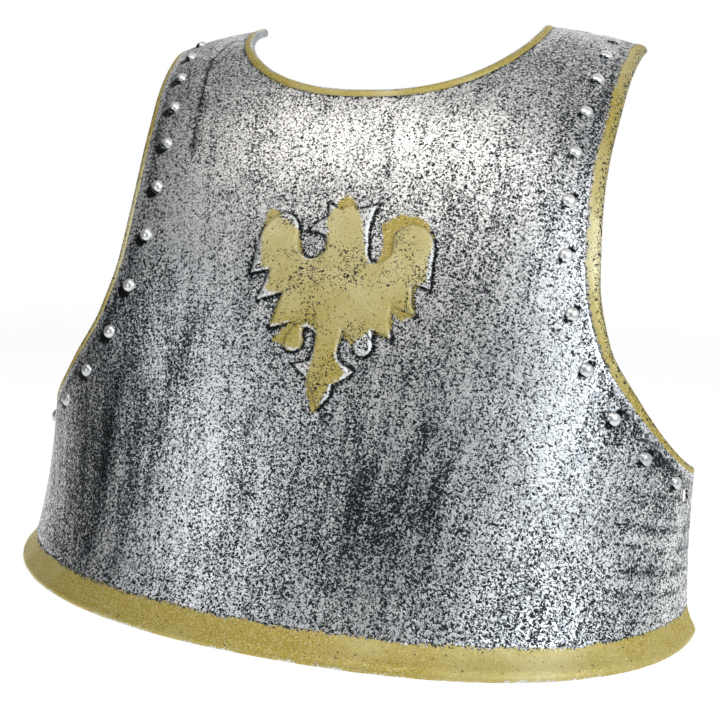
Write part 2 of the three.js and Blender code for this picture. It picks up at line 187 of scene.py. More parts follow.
def angle_at(x, rise):
    """The angle round the section at which a place is x from the centre line."""
    return np.arcsin(np.clip(x / half_width(rise), -1, 1))


SIDE_ANGLE = angle_at(ARM_EDGE["x"][0], SIDE_TOP)


def smooth_step(value, low, high):
    """0 below low, 1 above high, and 3 s^2 - 2 s^3 of the share s between them."""
    share = np.clip((value - low) / (high - low), 0, 1)
    return share**2 * (3 - 2 * share)


def mix(low, high, share):
    """The place a share of the way from low to high."""
    return low * (1 - share) + high * share


def side_edge(up, corner):
    """Angle and rise along the side and then the arm opening, a share of the way up."""
    climb = np.clip((up - corner) / (1 - corner), 0, 1)
    side_rise = mix(SHEET_FOOT, SIDE_TOP, np.clip(up / corner, 0, 1))
    rise = np.where(up < corner, side_rise, mix(SIDE_TOP, SHOULDER_END, climb))
    opening = angle_at(arm_edge(np.maximum(rise, SIDE_TOP)), rise)
    return np.where(up < corner, SIDE_ANGLE, opening), rise


def top_edge(share, neck_share):
    """Angle and rise along the neckline and then the shoulder's end, a share of the way out."""
    turn = np.clip(share / neck_share, 0, 1) * np.pi / 2
    neck_x = NECK_HALF_WIDTH * np.sin(turn) ** (2 / NECK_POWER)
    neck_rise = mix(NECK_TOP, NECK_BOTTOM, np.abs(np.cos(turn)) ** (2 / NECK_POWER))
    out = np.clip((share - neck_share) / (1 - neck_share), 0, 1)
    x = np.where(share <= neck_share, neck_x, mix(NECK_HALF_WIDTH, SHOULDER_HALF_WIDTH, out))
    rise = np.where(share <= neck_share, neck_rise, mix(NECK_TOP, SHOULDER_END, out))
    return angle_at(x, rise), rise


CORNER_UP = 0.22  # share of the way up at which the side meets the arm opening
NECK_SHARE = 0.68  # share of the way out at which the neckline meets the shoulder's end


def sheet_place(across, up):
    """Angle and rise of a place in the sheet, blended from its four edges. across runs from -1
    to 1 and up from 0 to 1."""
    share = np.abs(across)
    side_angle, side_rise = side_edge(up, CORNER_UP)
    top_angle, top_rise = top_edge(share, NECK_SHARE)
    corner_angle = angle_at(SHOULDER_HALF_WIDTH, SHOULDER_END)

    def blend(edge, foot, side, top, centre_top, corner):
        centre = mix(foot, centre_top, up)
        from_sides = mix(centre, side, share)
        from_ends = mix(mix(foot, edge, share), top, up)
        return from_sides + from_ends - mix(centre, mix(edge, corner, up), share)

    angle = blend(SIDE_ANGLE, 0, side_angle, top_angle, 0, corner_angle)
    rise = blend(SHEET_FOOT, SHEET_FOOT, side_rise, top_rise, NECK_BOTTOM, SHOULDER_END)
    return angle * np.sign(across), rise


def closed_sheet(outer, inner, keep):
    """Points and faces of a slab between two grids of points, over the cells that are kept,
    with a wall round them."""
    tall, wide = keep.shape[0] + 1, keep.shape[1] + 1
    index = np.arange(tall * wide).reshape(tall, wide)
    low_left, low_right = index[:-1, :-1], index[:-1, 1:]
    high_left, high_right = index[1:, :-1], index[1:, 1:]
    face = np.stack([low_left, low_right, high_right, high_left], axis=-1)[keep]
    back = face[:, ::-1] + tall * wide
    beyond = np.pad(keep, 1)
    walls = []
    for start, end, row, column in (
        (low_left, low_right, 0, 1),
        (low_right, high_right, 1, 2),
        (high_right, high_left, 2, 1),
        (high_left, low_left, 1, 0),
    ):
        neighbour = beyond[row : row + tall - 1, column : column + wide - 1]
        a, b = start[keep & ~neighbour], end[keep & ~neighbour]
        walls.append(np.stack([b, a, a + tall * wide, b + tall * wide], axis=-1))
    points = np.concatenate([outer.reshape(-1, 3), inner.reshape(-1, 3)])
    return points, np.concatenate([face, back, *walls])


SHARP_ANGLE = np.radians(50)  # of an edge that isn't smoothed over


def add_piece(name, points, faces, material, stands_for, marks, caps=()):
    """Makes a piece from points in millimetres and four-cornered faces, gives it its marks,
    which are named values for each point, and sets it in the place of its plain solid."""
    used, faces = np.unique(faces, return_inverse=True)
    faces = faces.reshape(-1, 4)
    mesh = bpy.data.meshes.new(name)
    mesh.from_pydata((points[used] * MM).tolist(), [], faces.tolist() + [list(c) for c in caps])
    mesh.shade_smooth()
    mesh.set_sharp_from_angle(angle=SHARP_ANGLE)
    for mark, values in marks.items():
        kind, key = ("FLOAT_VECTOR", "vector") if values.ndim == 2 else ("FLOAT", "value")
        made = mesh.attributes.new(mark, kind, "POINT")
        made.data.foreach_set(key, values[used].astype(np.float32).ravel())
    mesh.materials.append(material)
    piece = bpy.data.objects.new(name, mesh)
    scene.collection.objects.link(piece)
    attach(piece, "root")
    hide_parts(stands_for)


def add_slab(name, outer, inner, keep, material, stands_for, marks, inner_marks=()):
    """Adds the piece between two grids of points. The inner grid has the outer's marks, or one
    value for the whole of it where inner_marks gives one."""
    points, faces = closed_sheet(outer, inner, keep)
    both = {}
    for mark, values in marks.items():
        flat = values.reshape(-1, *values.shape[2:])
        within = np.full_like(flat, inner_marks[mark]) if mark in inner_marks else flat
        both[mark] = np.concatenate([flat, within])
    add_piece(name, points, faces, material, stands_for, both)


PLATE_COLUMNS, PLATE_ROWS = 221, 201
HOLE_RING = 2  # rings of cells dropped round a lacing hole's middle
# For the hole's own ring of points and the next two: its circle, in radii of the hole, and the
# share of its own distance that a point keeps
HOLE_CIRCLES = ((1, 0), (1.4, 0.5), (1.9, 0.75))


def open_hole(layer, axis_point, axis, rings, radius):
    """Moves the ring of points round a hole onto its circle, and eases the next two rings."""
    offset = layer - axis_point
    flat = offset - (offset @ axis)[..., None] * axis
    distance = np.linalg.norm(flat, axis=-1)
    target = distance
    for number, (circle, kept) in enumerate(HOLE_CIRCLES):
        eased = mix(radius * circle, distance, kept)
        target = np.where(rings == HOLE_RING + number, eased, target)
    pushed = np.maximum(distance, 1e-6)
    layer += flat * ((target - distance) / pushed)[..., None]


across, up = np.meshgrid(np.linspace(-1, 1, PLATE_COLUMNS), np.linspace(0, 1, PLATE_ROWS))
plate_angle, plate_rise = sheet_place(across, up)
plate_x = half_width(plate_rise) * np.sin(plate_angle)
plate_outer = face_point(plate_angle, plate_rise)
plate_inner = lifted(plate_angle, plate_rise, -SHEET)
plate_keep = np.ones((PLATE_ROWS - 1, PLATE_COLUMNS - 1), bool)
for hole_rise, hole_x in zip(LACING_HOLES["rise"], LACING_HOLES["x"]):
    hole_angle = angle_at(hole_x, hole_rise)
    hole_point, hole_axis = face_point(hole_angle, hole_rise), face_normal(hole_angle, hole_rise)
    nearest = np.linalg.norm(plate_outer - hole_point, axis=-1).argmin()
    row, column = np.unravel_index(nearest, plate_rise.shape)
    rows, columns = np.indices(plate_rise.shape)
    rings = np.maximum(np.abs(rows - row), np.abs(columns - column))
    for layer in (plate_outer, plate_inner):
        open_hole(layer, hole_point, hole_axis, rings, LACING_HOLE_RADIUS)
    plate_keep[row - HOLE_RING : row + HOLE_RING, column - HOLE_RING : column + HOLE_RING] = False


def distance_to_line(points, line):
    """Distance from each point of a grid to the nearest of a row of points."""
    nearest = np.full(points.shape[:-1], np.inf)
    for mark in line:
        np.minimum(nearest, ((points - mark) ** 2).sum(axis=-1), out=nearest)
    return np.sqrt(nearest)


def side_line(side, count=400):
    """Points along one arm opening, from the side up to the shoulder's end."""
    angle, rise = side_edge(np.linspace(CORNER_UP, 1, count), CORNER_UP)
    return side * angle, rise


def neck_line(count=400):
    """Points along the neckline, from the wearer's left to the right."""
    share = np.linspace(1, -1, count)
    angle, rise = top_edge(np.abs(share) * NECK_SHARE, NECK_SHARE)
    return angle * np.sign(share), rise


# Rivets along each arm opening, from the shoulder down to the side
RIVETS = table(
    "rise x",
    (385, 131.5),
    (356.5, 128),
    (328, 124.5),
    (299.5, 120),
    (270.5, 116.5),
    (241, 115.5),
    (211, 116.5),
    (180.5, 122),
    (152.5, 131),
    (128, 146),
    (106.5, 163),
    (90, 180),
)
# Patches of the black wash, round a place, partly painted shade and painted highlight laid where
# the lighting leaves the plate darker or brighter, as on the dark low flank of the wearer's right
# side.
# across, along: the width of the bell. amount: how much thicker the wash lies, below 0 where it is
# rubbed or painted lighter.
WASH_AND_PAINTED_LIGHT = table(
    "x rise across along amount",
    (-132, 85, 24, 75, 0.3),
    (-118, 175, 16, 40, 0.2),
    (-92, 218, 28, 34, -0.22),
    (35, 75, 50, 50, 0.2),
    (115, 340, 24, 40, 0.1),
    (-62, 90, 12, 50, -0.1),
    (118, 130, 28, 60, -0.24),
    (118, 30, 32, 26, 0.16),
    (10, 270, 60, 30, -0.12),
    (-88, 375, 34, 20, -0.25),
    (112, 385, 30, 14, -0.25),
    (150, 122, 16, 12, 0.3),
    (172, 104, 12, 10, 0.3),
)
# Single strokes of the brush, from one place to another, with the width of their bell. The first
# four draw the dark line of the crease below the wearer's right shoulder, painted shade, and the
# long strokes low on the wearer's right side are partly wash and partly painted shade.
STROKES_AND_PAINTED_SHADE = table(
    "x rise to_x to_rise width amount",
    (-101, 370, -107, 342, 1.6, 0.5),
    (-107, 342, -101, 298, 1.6, 0.6),
    (-101, 298, -96, 262, 2, 0.4),
    (-96, 356, -103, 332, 1.6, 0.3),
    (150, 92, 188, 77, 1.8, 0.3),
    (156, 84, 190, 67, 1.6, 0.2),
    (152, 72, 192, 58, 1.8, 0.3),
    (150, 66, 180, 54, 1.4, -0.2),
    (156, 60, 192, 47, 1.6, 0.25),
    (158, 48, 192, 36, 1.8, 0.3),
    (150, 42, 186, 32, 1.4, -0.2),
    (156, 36, 190, 27, 1.6, 0.25),
    (-84, 150, -92, 60, 5, 0.22),
    (-99, 120, -104, 15, 6, 0.22),
    (-76, 165, -82, 115, 4, 0.2),
    (-120, 130, -124, 30, 5, 0.2),
    (58, 70, 82, 128, 4, 0.18),
    (38, 60, 60, 118, 5, 0.16),
    (18, 40, 30, 90, 6, 0.14),
    (52, 85, 74, 140, 2, -0.2),
    (70, 88, 90, 138, 1.8, -0.2),
    (34, 80, 48, 122, 1.8, -0.2),
    (-48, 60, -58, 150, 3, -0.12),
    (-30, 50, -38, 110, 3, 0.12),
)
STROKE_SPREAD = 500  # rise over which the brush strokes draw twice as far apart
WASH_SHADE_DAB_OFFSET = (2.4, 3)  # of the black in the corner at a rivet's foot, partly wash and partly painted shade, in x and rise
LEFT_WASH_SHADE_DAB = 2.4  # how much less far the dabs of the wearer's left side reach


def squared_distance(x, up, start, end):
    """Squared distance from places to the straight line between two others."""
    (from_x, from_up), (to_x, to_up) = start, end
    run, climb = to_x - from_x, to_up - from_up
    share = ((x - from_x) * run + (up - from_up) * climb) / (run**2 + climb**2)
    share = np.clip(share, 0, 1)
    return (x - from_x - share * run) ** 2 + (up - from_up - share * climb) ** 2


def wash_and_light_amount(x, rise):
    """The sum of the patches and strokes, each a bell over its own size or width."""
    total = np.zeros_like(rise)
    for at_x, at_rise, wide, tall, amount in zip(*WASH_AND_PAINTED_LIGHT.values()):
        total += amount * np.exp(-(((x - at_x) / wide) ** 2) - ((rise - at_rise) / tall) ** 2)
    for at_x, at_rise, to_x, to_rise, width, amount in zip(*STROKES_AND_PAINTED_SHADE.values()):
        away = squared_distance(x, rise, (at_x, at_rise), (to_x, to_rise))
        total += amount * np.exp(-away / width**2)
    return total


def fanned(x, rise):
    """Distance from the centre line as the brush went, which spread its strokes upward."""
    return x / (1 + rise / STROKE_SPREAD)


def wash_and_shade_dab_distance(side, way):
    """Distance to the black beside each rivet of one side, above or below it, which is partly wash
    and partly painted shade.
    """
    places = [
        (side * x + way * WASH_SHADE_DAB_OFFSET[0], rise + way * WASH_SHADE_DAB_OFFSET[1])
        for rise, x in zip(RIVETS["rise"], RIVETS["x"])
    ]
    dabs = [face_point(angle_at(x, rise), rise) for x, rise in places]
    return distance_to_line(plate_outer, dabs)


plate_marks = {
    "place": np.stack([fanned(plate_x, plate_rise), plate_rise, np.zeros_like(plate_x)], -1) * MM,
    # wash patches and strokes: partly real wash, partly painted shade and painted highlight
    "wash": wash_and_light_amount(plate_x, plate_rise),
    "arm_distance": distance_to_line(
        plate_outer, np.concatenate([face_point(*side_line(side)) for side in (1, -1)])
    ),
    "neck_distance": distance_to_line(plate_outer, face_point(*neck_line())),
    # black at the rivets' feet, on one side of each: partly wash, partly painted shade
    "wash_and_shade_dab_distance": np.minimum.reduce([
        wash_and_shade_dab_distance(1, 1) + LEFT_WASH_SHADE_DAB,
        wash_and_shade_dab_distance(1, -1) + LEFT_WASH_SHADE_DAB,
        wash_and_shade_dab_distance(-1, -1),
    ]),
}


def fill(tree, node, inputs):
    """Sets a node's inputs, or links them where a socket is given."""
    for name, value in dict(inputs).items():
        if isinstance(value, bpy.types.NodeSocket):
            tree.links.new(value, node.inputs[name])
        else:
            node.inputs[name].default_value = value
    return node


def add_node(tree, kind, inputs=(), **settings):
    """A node with its settings and its inputs."""
    made = tree.nodes.new("ShaderNode" + kind)
    for name, value in settings.items():
        setattr(made, name, value)
    return fill(tree, made, inputs)


def calc(tree, operation, *values, clamp=False):
    """The result of one Math node."""
    inputs = dict(enumerate(values))
    return add_node(tree, "Math", inputs, operation=operation, use_clamp=clamp).outputs[0]


def remap(tree, value, low, high, start=0.0, end=1.0):
    """A value taken smoothly from low..high to start..end."""
    inputs = {"Value": value, "From Min": low, "From Max": high, "To Min": start, "To Max": end}
    return add_node(tree, "MapRange", inputs, interpolation_type="SMOOTHSTEP").outputs[0]


def mixed(tree, share, low, high):
    """A colour between two by a mask."""
    inputs = {0: share, 6: low, 7: high}
    return add_node(tree, "Mix", inputs, data_type="RGBA").outputs[2]


def noise(tree, vector, scale, detail=2.0, roughness=0.5, distortion=0.0):
    """Soft noise from 0 to 1, mostly from 0.3 to 0.7, with about scale humps to a metre."""
    inputs = {
        "Vector": vector,
        "Scale": scale,
        "Detail": detail,
        "Roughness": roughness,
        "Distortion": distortion,
    }
    return add_node(tree, "TexNoise", inputs).outputs["Fac"]


def stretched(tree, vector, scale):
    """Coordinates drawn out along the directions whose scale is small."""
    return add_node(tree, "Mapping", {"Vector": vector, "Scale": scale}).outputs[0]


def attribute(tree, name, output="Fac"):
    """A piece's own named value at each point."""
    return add_node(tree, "Attribute", attribute_name=name).outputs[output]


def object_place(tree):
    """The place in metres, which is the same on every piece."""
    return add_node(tree, "TexCoord").outputs["Object"]


def new_group(name, inputs, outputs):
    """A shader node group with float or colour sockets, and its two end nodes."""
    group = bpy.data.node_groups.new(name, "ShaderNodeTree")
    for direction, sockets in (("INPUT", inputs), ("OUTPUT", outputs)):
        for socket, default in sockets.items():
            kind = "NodeSocketFloat" if isinstance(default, float) else "NodeSocketColor"
            made = group.interface.new_socket(socket, in_out=direction, socket_type=kind)
            made.default_value = default
    return group, group.nodes.new("NodeGroupInput").outputs, group.nodes.new("NodeGroupOutput")


def use_group(tree, group, inputs):
    """The outputs of a group in a material, with its inputs set or linked."""
    return add_node(tree, "Group", inputs, node_tree=group).outputs


BARE_STEEL = (0.82, 0.82, 0.82, 1.0)
DULL_STEEL = (0.255, 0.272, 0.29, 1.0)
BLACK_WASH = (0.026, 0.03, 0.034, 1.0)  # thin, in a pit
BLACK_POOL = (0.008, 0.009, 0.01, 1.0)  # thick, in a corner, where it is partly painted shade
PITS_EACH_METRE = 860.0
PIT_DRY, PIT_FILL = 0.388, 0.25  # height in a pit that wash reaches at 0, and how much more at 1
PIT_EDGE = (-0.01, 0.004)  # heights over which a pit's wash ends at the rubbed steel


def washed_steel():
    """Silver-grey steel under a black wash that stays in the pits of its stipple. Wash is how
    much of it is left, from 0 to 1, and Film how far it greys the steel between the pits."""
    group, given, output = new_group(
        "washed_steel",
        {"Wash": 0.4, "Film": 0.0},
        {"Color": BARE_STEEL, "Roughness": 0.4, "Metallic": 0.8, "Height": 0.0},
    )
    place = object_place(group)
    pits = noise(group, place, PITS_EACH_METRE, distortion=1.0)
    level = calc(group, "MULTIPLY_ADD", given["Wash"], PIT_FILL, PIT_DRY)
    above = calc(group, "SUBTRACT", pits, level)
    specks = remap(group, above, *PIT_EDGE, 1.0, 0.0)
    pool = remap(group, given["Wash"], 0.5, 1.0)
    black = mixed(group, pool, BLACK_WASH, BLACK_POOL)
    unrubbed = remap(group, above, 0.0, 0.15, 0.55, 0.0)
    cloud = remap(group, noise(group, place, 70.0, detail=3.0), 0.3, 0.7, -0.14, 0.16)
    shade = calc(group, "ADD", calc(group, "ADD", given["Film"], unrubbed), cloud, clamp=True)
    steel = mixed(group, shade, BARE_STEEL, DULL_STEEL)
    fill(group, output, {
        "Color": mixed(group, specks, steel, black),
        "Roughness": remap(group, specks, 0.0, 1.0, 0.32, 0.5),
        "Metallic": remap(group, specks, 0.0, 1.0, 0.8, 0.9),
        "Height": pits,
    })
    return group


WASHED_STEEL = washed_steel()
GOLD = (0.42, 0.325, 0.056, 1.0)
PALE_GOLD = (0.76, 0.69, 0.42, 1.0)
GOLD_METAL = 0.55
GOLD_ROUGHER = 0.12  # than what lies under it
FRAYED, WANDERING = 1.0, 0.7  # how far the paint's edge strays, over short and long stretches


def gold_paint():
    """Gold paint brushed over what lies under it. Inside is how far a place is within the
    painted area, in millimetres, and the paint's edge is ragged. Thin lets the black through,
    and Pale is how far it turns pale. Its fine pale grains are painted glints."""
    group, given, output = new_group(
        "gold_paint",
        {
            "Under": BARE_STEEL,
            "Under Roughness": 0.4,
            "Under Metallic": 0.8,
            "Pits": 0.5,
            "Inside": 0.0,
            "Thin": 0.3,
            "Pale": 0.0,
        },
        {"Color": GOLD, "Roughness": 0.4, "Metallic": 0.5},
    )
    place = object_place(group)
    fray = remap(group, noise(group, place, 800.0), 0.3, 0.7, -FRAYED, FRAYED)
    wander = remap(group, noise(group, place, 55.0), 0.35, 0.65, -WANDERING, WANDERING)
    inside = calc(group, "ADD", calc(group, "ADD", given["Inside"], fray), wander)
    cover = remap(group, inside, -0.35, 0.35)
    deep = remap(group, calc(group, "SUBTRACT", given["Thin"], given["Pits"]), -0.03, 0.03)
    cover = calc(group, "MULTIPLY", cover, calc(group, "SUBTRACT", 1.0, deep))
    # fine pale grains: painted glints on the paint's bumps
    glint_grains = remap(group, noise(group, place, 1100.0), 0.4, 0.8, 0.0, 0.7)
    patches = remap(group, noise(group, place, 45.0, detail=3.0), 0.35, 0.7, 0.0, 0.3)
    pale = calc(group, "MAXIMUM", glint_grains, calc(group, "ADD", patches, given["Pale"]))
    paint = mixed(group, pale, GOLD, PALE_GOLD)
    metallic = add_node(group, "Mix", {0: cover, 2: given["Under Metallic"], 3: GOLD_METAL})
    fill(group, output, {
        "Color": mixed(group, cover, given["Under"], paint),
        "Roughness": calc(group, "MULTIPLY_ADD", cover, GOLD_ROUGHER, given["Under Roughness"]),
        "Metallic": metallic.outputs[0],
    })
    return group


GOLD_PAINT = gold_paint()
PAINT_SHINE = 0.15


def new_material(name):
    """A material with its tree and its Principled shader, whose paint is dull."""
    material = bpy.data.materials.new(name)
    material.use_nodes = True
    shader = material.node_tree.nodes["Principled BSDF"]
    shader.inputs["Specular IOR Level"].default_value = PAINT_SHINE
    return material, material.node_tree, shader


def gilded(tree, steel, inputs):
    """Gold paint over a washed steel."""
    under = {
        "Under": steel["Color"],
        "Under Roughness": steel["Roughness"],
        "Under Metallic": steel["Metallic"],
        "Pits": steel["Height"],
    }
    return use_group(tree, GOLD_PAINT, under | inputs)


def finish_shader(tree, shader, finish, pits, depth_of_pits):
    """Links a finish to the shader, with its pits as a bump of a depth in millimetres."""
    bump = add_node(tree, "Bump", {"Height": pits, "Distance": depth_of_pits * MM})
    fill(tree, shader, {
        "Base Color": finish["Color"],
        "Roughness": finish["Roughness"],
        "Metallic": finish["Metallic"],
        "Normal": bump.outputs[0],
    })


def streaks(tree, place, across, along):
    """Brush marks: noise drawn out along the brush, as a value from -1 to 1."""
    drawn = stretched(tree, place, (across, along, 1.0))
    return remap(tree, noise(tree, drawn, 1.0, detail=4.0, roughness=0.6), 0.3, 0.7, -1.0, 1.0)


PLATE_WASH = 0.36  # left everywhere
PLATE_THIN = 0.36  # how worn the gold that strays on to it is
# Brush marks in the wash: how many to a metre across and along the brush, and how strong
BRUSHES = ((420.0, 20.0, 0.09), (120.0, 12.0, 0.1))
# More wash, or less, beside a thing: how far from it that starts to fade and is gone, and amount.
# The black beside the neck roll, at the rivets' feet and round the eagle's foot is partly wash and
# partly painted shade in those corners.
WASH_BESIDE = (
    ("arm_distance", 7.0, 15.0, 0.18),
    ("arm_distance", 4.5, 7.0, -0.3),
    ("neck_distance", 2.6, 5.5, 0.45),
    ("wash_and_shade_dab_distance", 3.2, 5.2, 0.8),
    ("eagle_distance", 0.2, 2.6, 0.5),
)


def plate_material():
    """Washed steel, with wash thick beside the gold edges and round the rivets, brushed up and
    down over the chest and round the sides. Part of the black in those corners and patches is
    painted shade, and part of the rubbed steel is painted highlight."""
    material, tree, shader = new_material("washed_plate")
    place = attribute(tree, "place", "Vector")
    wash = calc(tree, "ADD", attribute(tree, "wash"), PLATE_WASH)
    for across_brush, along_brush, amount in BRUSHES:
        marks = streaks(tree, place, across_brush, along_brush)
        wash = calc(tree, "MULTIPLY_ADD", marks, amount, wash)
    for mark, near, far, amount in WASH_BESIDE:
        beside = remap(tree, attribute(tree, mark), near, far, amount, 0.0)
        wash = calc(tree, "ADD", wash, beside)
    film = remap(tree, wash, 0.4, 1.2, 0.0, 0.8)
    steel = use_group(tree, WASHED_STEEL, {"Wash": wash, "Film": film})
    painted = gilded(tree, steel, {"Inside": attribute(tree, "gold"), "Thin": PLATE_THIN})
    finish_shader(tree, shader, painted, steel["Height"], depth_of_pits=0.25)
    return material


# ----------------------------------------
# The eagle badge: a heraldic eagle displayed, raised on the chest with round shoulders. Gold
# paint was dabbed on through a stencil that sat a little off it, so silver shows at its points.

# Corners clockwise from the left point of the crown. bulge: of the arc to the next corner, as
# the tangent of a quarter of its angle, positive where it turns left.
EAGLE = table(
    "x up bulge",
    (-9, 232.5, 0),
    (-2, 229, 0),
    (4.5, 232.5, 0),
    (7, 229, 0),
    (18.5, 232.5, 0.1),
    (15.5, 217, 0.05),
    (16.5, 204.5, 0.1),
    (19, 200.5, 0.3),
    (28.5, 206, 0),
    (28.5, 216, -0.2),
    (36, 222, -0.2),
    (45, 220.5, -0.15),
    (50.5, 213, -0.1),
    (51, 200, 0),
    (51.5, 187, 0.1),
    (42, 189.5, 0),
    (42.5, 181, 0),
    (45, 173, 0),
    (38, 175.5, 0),
    (32.5, 178, 0),
    (32, 170, 0),
    (34.5, 159.5, 0.1),
    (24, 164, 0),
    (24.5, 158, -1.5),
    (14.5, 157.5, 0),
    (8, 163, 0),
    (6.5, 151.5, 0),
    (8.5, 147, 0),
    (17, 142, -0.1),
    (6.5, 134.5, 0),
    (5.5, 128, -0.1),
    (-0.5, 121, -0.05),
    (-8.5, 137, 0),
    (-17, 143.5, 0.05),
    (-8, 146, 0.1),
    (-6.5, 160, 0.3),
    (-13.5, 163, 0),
    (-13, 157.5, -1.5),
    (-23, 157.5, 0),
    (-18.5, 166, 0.05),
    (-32.5, 161.5, 0),
    (-28, 181, 0),
    (-42, 176, 0),
    (-36.5, 193.5, 0),
    (-47.5, 190.5, 0.05),
    (-45.5, 209, -0.12),
    (-42, 219.5, -0.15),
    (-33, 226, -0.3),
    (-23.5, 219.5, 0),
    (-22.5, 208, 0.3),
    (-15, 201, 0.3),
    (-7.5, 206, 0.2),
    (-8.5, 214, 0.1),
    (-17.5, 216.5, -0.15),
    (-8.5, 224.5, 0),
)
# The stencil's outline, clockwise from the paint blown over the crown
STENCIL = table(
    "x up bulge",
    (-2, 236.5, -0.3),
    (5, 233.5, 0),
    (11.5, 224, 0),
    (13.5, 213, 0),
    (17.5, 198.5, 0.3),
    (23, 208, 0),
    (22.5, 221, -0.1),
    (32, 227.5, -0.15),
    (43.5, 224.5, -0.2),
    (49, 213, 0),
    (48.5, 191, 0),
    (42, 188, 0),
    (43.5, 174, 0),
    (38, 171.5, 0),
    (32, 176, 0),
    (32.5, 160, 0),
    (23, 164.5, 0),
    (13.5, 155.5, 0),
    (8, 163.5, 0),
    (5, 149.5, 0),
    (11, 141.5, -0.3),
    (5.5, 135, 0),
    (2, 125, 0),
    (-3, 118, 0),
    (-8.5, 136, 0),
    (-6, 148, 0),
    (-6, 161, 0.3),
    (-13, 164, 0),
    (-12.5, 154, -0.5),
    (-22.5, 153, 0),
    (-29.5, 156, 0),
    (-21, 166, 0),
    (-32, 164, 0),
    (-27.5, 181, 0),
    (-36.5, 182, 0),
    (-36, 193.5, 0),
    (-42, 194.5, 0),
    (-44, 211, 0),
    (-42, 227, -0.2),
    (-32.5, 222, -0.2),
    (-22.5, 214, 0.1),
    (-18, 199.5, 0.2),
    (-6.5, 205, 0),
    (-6, 217, 0),
    (-9, 220.5, 0),
)
ARC_STEP = np.radians(12)


def arc_outline(corners):
    """The outline through a table's corners, with each bulging side as a run of short chords."""
    points = np.stack([corners["x"], corners["up"]], axis=-1)
    outline = []
    for start, end, bulge in zip(points, np.roll(points, -1, axis=0), corners["bulge"]):
        opening = 4 * np.arctan(bulge)
        pieces = max(1, int(np.ceil(abs(opening) / ARC_STEP)))
        turned = opening * np.arange(pieces) / pieces
        reach = np.sin(turned / 2) / np.sin(opening / 2) if bulge else np.zeros(1)
        swing = (turned - opening) / 2
        chord = end - start
        across_chord = np.array([-chord[1], chord[0]])
        step = np.cos(swing)[:, None] * chord + np.sin(swing)[:, None] * across_chord
        outline.append(start + reach[:, None] * step)
    return np.concatenate(outline)


def depth_inside(x, up, outline):
    """Distance to a closed outline, above 0 inside it: a place is inside if a line to its
    right crosses the outline an odd number of times."""
    nearest = np.full(x.shape, np.inf)
    inside = np.zeros(x.shape, bool)
    for start, end in zip(outline, np.roll(outline, -1, axis=0)):
        np.minimum(nearest, squared_distance(x, up, start, end), out=nearest)
        run, climb = end - start
        if climb:
            crossing = start[0] + (up - start[1]) / climb * run > x
            inside ^= ((start[1] > up) != (end[1] > up)) & crossing
    return np.sqrt(nearest) * np.where(inside, 1, -1)


EAGLE_OUTLINE = arc_outline(EAGLE)
STENCIL_OUTLINE = arc_outline(STENCIL)
EAGLE_RELIEF = 2.2  # of its face above the sheet
EAGLE_SHOULDER = 2.4  # width over which its edge rounds up to its face
EAGLE_SKIRT = 0.9  # how far the mesh runs on, sunk into the plate, past the outline
EAGLE_SEAT = 0.8  # how deep its back lies in the sheet, as a share of the thickness
EAGLE_STEP = 0.55  # of its grid
EAGLE_MARGIN = 2  # of the grid beyond the outline

eagle_x, eagle_up = np.meshgrid(
    *(
        np.arange(places.min() - EAGLE_MARGIN, places.max() + EAGLE_MARGIN, EAGLE_STEP)
        for places in (EAGLE["x"], EAGLE["up"])
    )
)
eagle_inside = depth_inside(eagle_x, eagle_up, EAGLE_OUTLINE)
climbed = np.clip(eagle_inside / EAGLE_SHOULDER, 0, 1)
eagle_lift = EAGLE_RELIEF * np.sqrt(1 - (1 - climbed) ** 2) + np.minimum(eagle_inside, 0)
eagle_angle = angle_at(eagle_x, eagle_up)
eagle_outer = lifted(eagle_angle, eagle_up, np.maximum(eagle_lift, -EAGLE_SKIRT))
eagle_inner = lifted(eagle_angle, eagle_up, -SHEET * EAGLE_SEAT)
near_outline = eagle_inside > -EAGLE_SKIRT
eagle_keep = (
    near_outline[:-1, :-1] & near_outline[:-1, 1:] & near_outline[1:, :-1] & near_outline[1:, 1:]
)


def eagle_material():
    """Gold over silver, the silver bright on the round edges, partly rubbed and partly painted
    highlight, and black at their foot, partly wash and partly painted shade.
    """
    material, tree, shader = new_material("eagle_gold")
    inside = attribute(tree, "eagle_inside")
    # black at the relief's foot: partly wash, partly painted shade; less wash on the round edges:
    # partly rubbed, partly painted highlight
    foot = remap(tree, inside, 0.1, 0.8, 1.0, 0.0)
    body = remap(tree, inside, 0.9, 3.0, -0.08, 0.34)
    cloud = remap(tree, noise(tree, object_place(tree), 38.0, detail=3.0), 0.35, 0.65, -0.15, 0.15)
    wash = calc(tree, "ADD", calc(tree, "ADD", foot, body), cloud)
    steel = use_group(tree, WASHED_STEEL, {"Wash": wash, "Film": 0.0})
    painted = gilded(tree, steel, {
        "Inside": attribute(tree, "gold"),
        "Thin": remap(tree, cloud, -0.15, 0.15, 0.32, 0.45),
        "Pale": attribute(tree, "pale"),
    })
    finish_shader(tree, shader, painted, steel["Height"], depth_of_pits=0.5)
    return material


EAGLE_PALE, PALEST = (150, 210), 0.45  # rise over which its gold grows pale, and how pale
eagle_marks = {
    "eagle_inside": eagle_inside,
    "pale": PALEST * smooth_step(eagle_up, *EAGLE_PALE),
    "gold": depth_inside(eagle_x, eagle_up, STENCIL_OUTLINE),
}
add_slab(
    "eagle",
    eagle_outer,
    eagle_inner,
    eagle_keep,
    eagle_material(),
    "eagle_badge",
    eagle_marks,
)

# The plate again, now that the eagle's outline is drawn: its gold paint strays on to the sheet,
# as the paint of the rolled edges and the waist band does, and black is left round it, partly wash
# and partly painted shade at the relief's foot.

ROLL_NARROWS = (85, 205)  # heights between which the arm's rolled edge and its gold narrow
